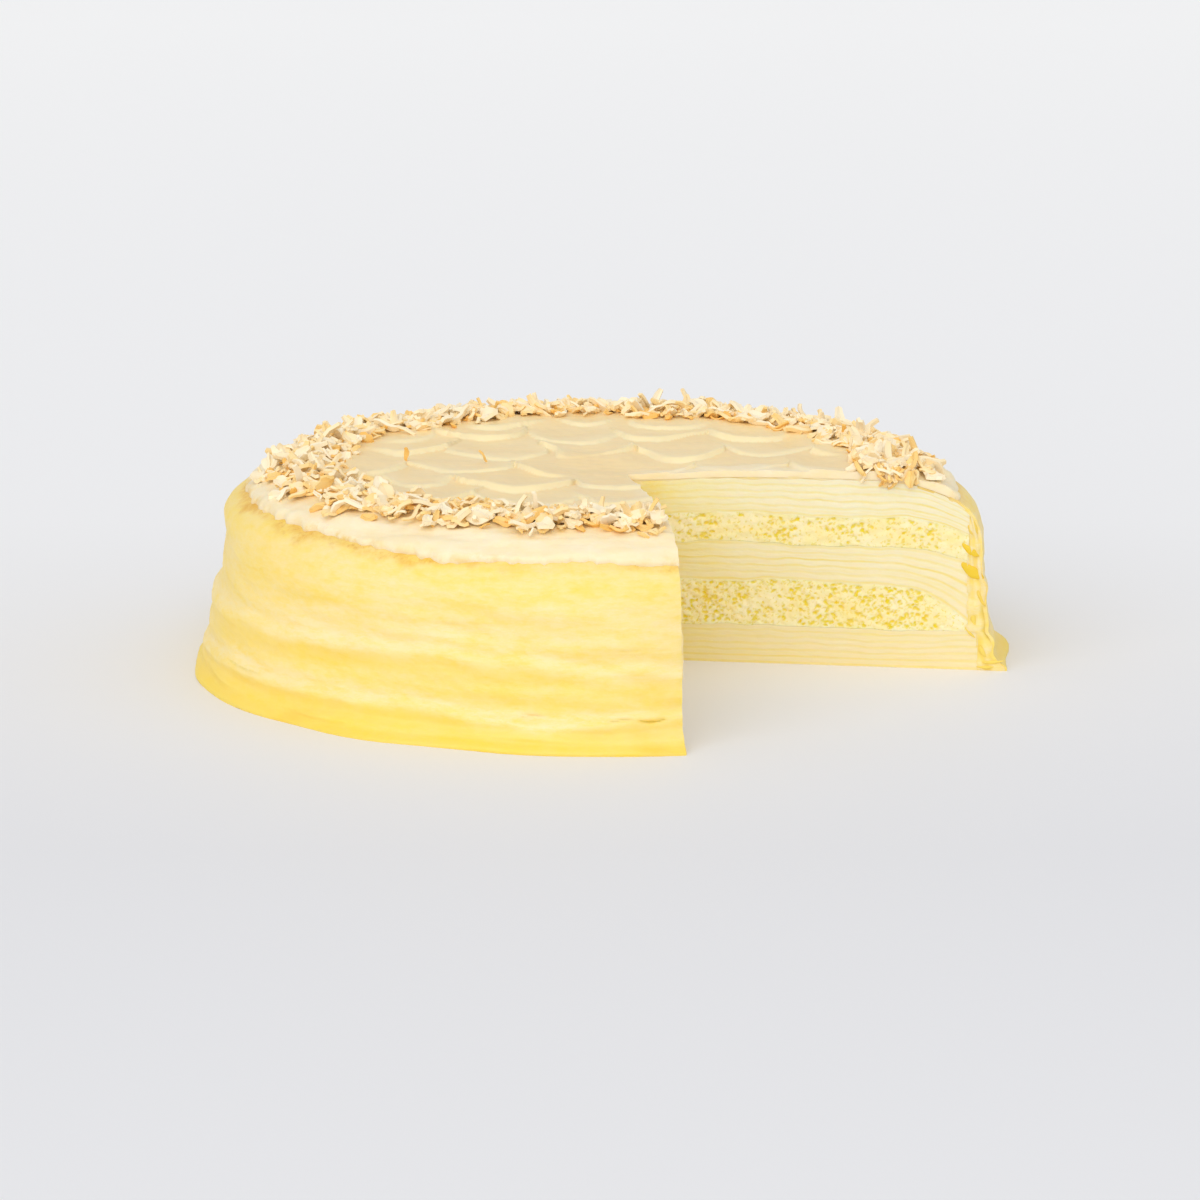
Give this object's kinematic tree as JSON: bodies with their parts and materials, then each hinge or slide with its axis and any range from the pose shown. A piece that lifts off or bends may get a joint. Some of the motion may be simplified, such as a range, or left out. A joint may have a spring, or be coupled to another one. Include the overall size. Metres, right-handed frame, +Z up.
{
  "type": "crepe cake",
  "caption": "Round crepe cake with a slice taken out: stacked crepes and cream, sponge layers, a draped outer crepe, swirled icing and a toasted coconut ring.",
  "frame": {"origin": "on the cake's axis, at the height of the surface it rests on", "axes": "+Z up through the cake, +Y to its back, +X to its right; the slice is missing between +X and -Y"},
  "size_m": [0.2482, 0.248, 0.0663],
  "materials": {
    "crepe": "matte",
    "cream": "satin",
    "sponge": "matte",
    "outer_crepe": "satin",
    "icing": "satin",
    "coconut": "matte"
  },
  "bodies": {
    "root": {"crepe_01": "crepe", "crepe_02": "crepe", "crepe_03": "crepe", "crepe_04": "crepe", "crepe_05": "crepe", "crepe_06": "crepe", "crepe_07": "crepe", "crepe_08": "crepe", "crepe_09": "crepe", "crepe_10": "crepe", "crepe_11": "crepe", "crepe_12": "crepe", "crepe_13": "crepe", "crepe_14": "crepe", "crepe_15": "crepe", "crepe_16": "crepe", "crepe_17": "crepe", "cream_01": "cream", "cream_02": "cream", "cream_03": "cream", "cream_04": "cream", "cream_05": "cream", "cream_06": "cream", "cream_07": "cream", "cream_08": "cream", "cream_09": "cream", "cream_10": "cream", "cream_11": "cream", "cream_12": "cream", "cream_13": "cream", "cream_14": "cream", "cream_15": "cream", "cream_16": "cream", "sponge_lower": "sponge", "sponge_upper": "sponge", "outer_crepe": "outer_crepe", "icing": "icing", "coconut_ring": "coconut"}
  },
  "joints": []
}
